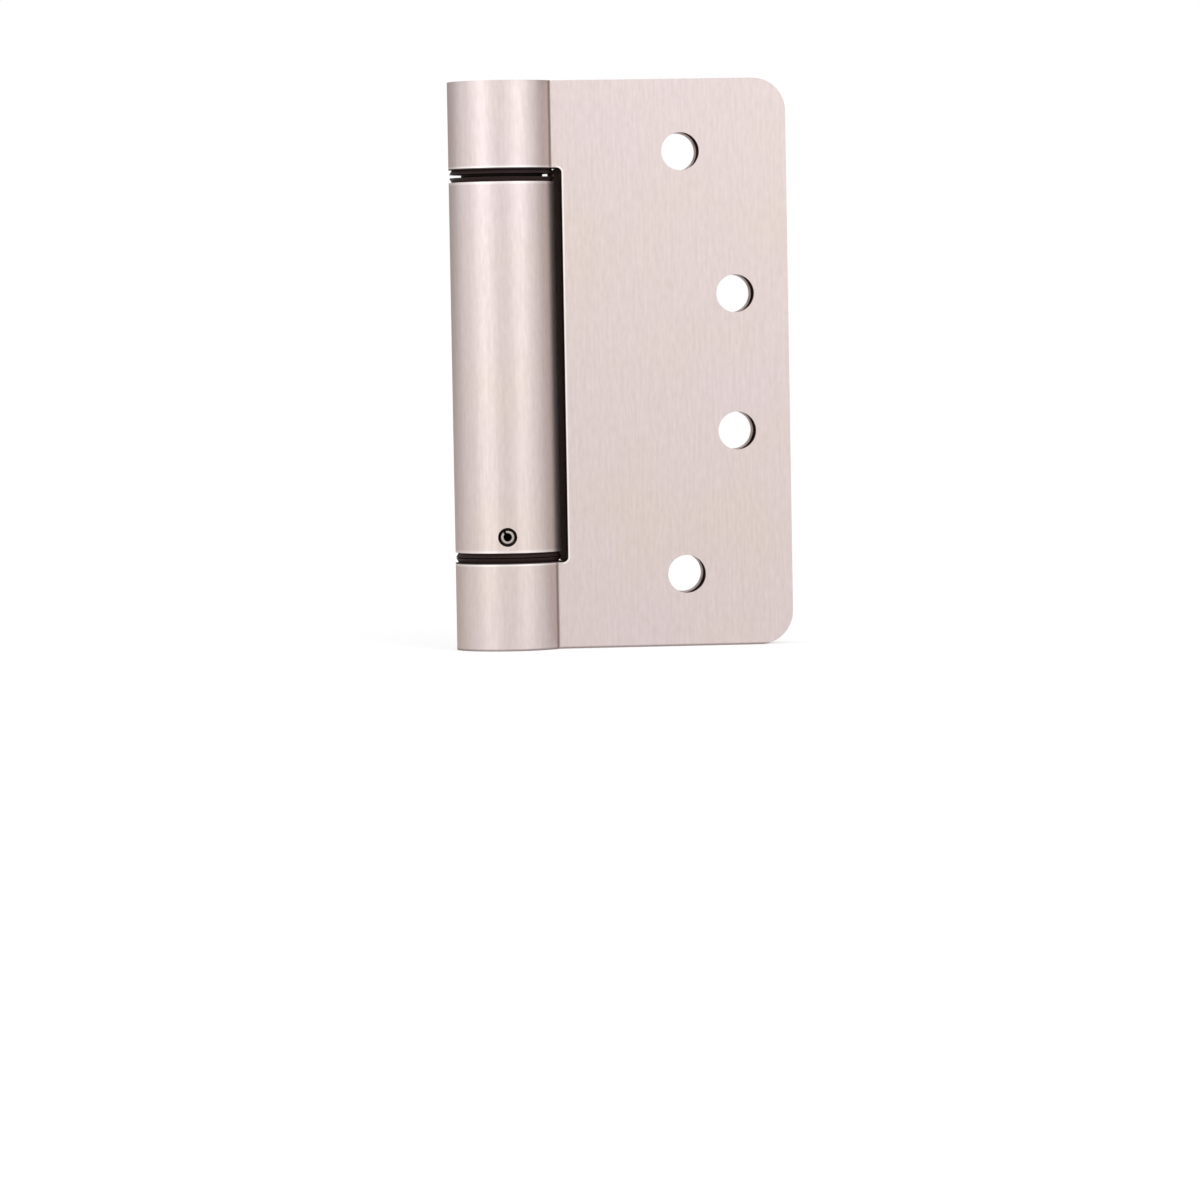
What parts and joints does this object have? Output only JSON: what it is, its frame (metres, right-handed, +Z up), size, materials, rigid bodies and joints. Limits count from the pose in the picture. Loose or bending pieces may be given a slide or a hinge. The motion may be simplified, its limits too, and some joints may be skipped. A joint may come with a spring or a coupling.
{
  "type": "spring loaded door hinge",
  "caption": "Closed square butt hinge with rounded corners, whose long middle barrel holds a torsion spring that swings the door shut; adjustable tension.",
  "frame": {"origin": "on the hinge axis, at the lower end of the barrel, at the mouth of the key socket", "axes": "+Z up along the hinge axis, +X towards the free edges of the closed leaves, +Y from the front leaf to the rear leaf"},
  "size_m": [0.0603, 0.019, 0.1016],
  "materials": {
    "satin_nickel": "satin nickel plate, brushed along the barrel",
    "spindle_steel": "zinc plated",
    "spring_steel": "oiled spring steel",
    "pin_steel": "bright",
    "black_nylon": "moulded black nylon"
  },
  "bodies": {
    "front": {"front_leaf": "satin_nickel", "upper_spindle": "spindle_steel", "upper_knuckle_washer": "black_nylon", "lower_knuckle_bush": "black_nylon", "torsion_spring": "spring_steel"},
    "rear": {"rear_leaf": "satin_nickel", "adjuster": "spindle_steel", "barrel_bush": "black_nylon", "barrel_washer": "black_nylon"},
    "pin": {"tension_pin": "pin_steel"}
  },
  "joints": [
    {"name": "leaf_swing", "type": "hinge", "parent": "front", "child": "rear", "pos_m": [0, 0, 0], "axis": [0, 0, 1], "range_deg": [0, 180], "stiffness_Nm_per_rad": 0.75, "springref_deg": -59.99, "deforming": ["torsion_spring"]},
    {"name": "pin_pull", "type": "slide", "parent": "rear", "child": "pin", "axis": [-0.0872, -0.9962, 0], "range_m": [0, 0.0065]}
  ]
}
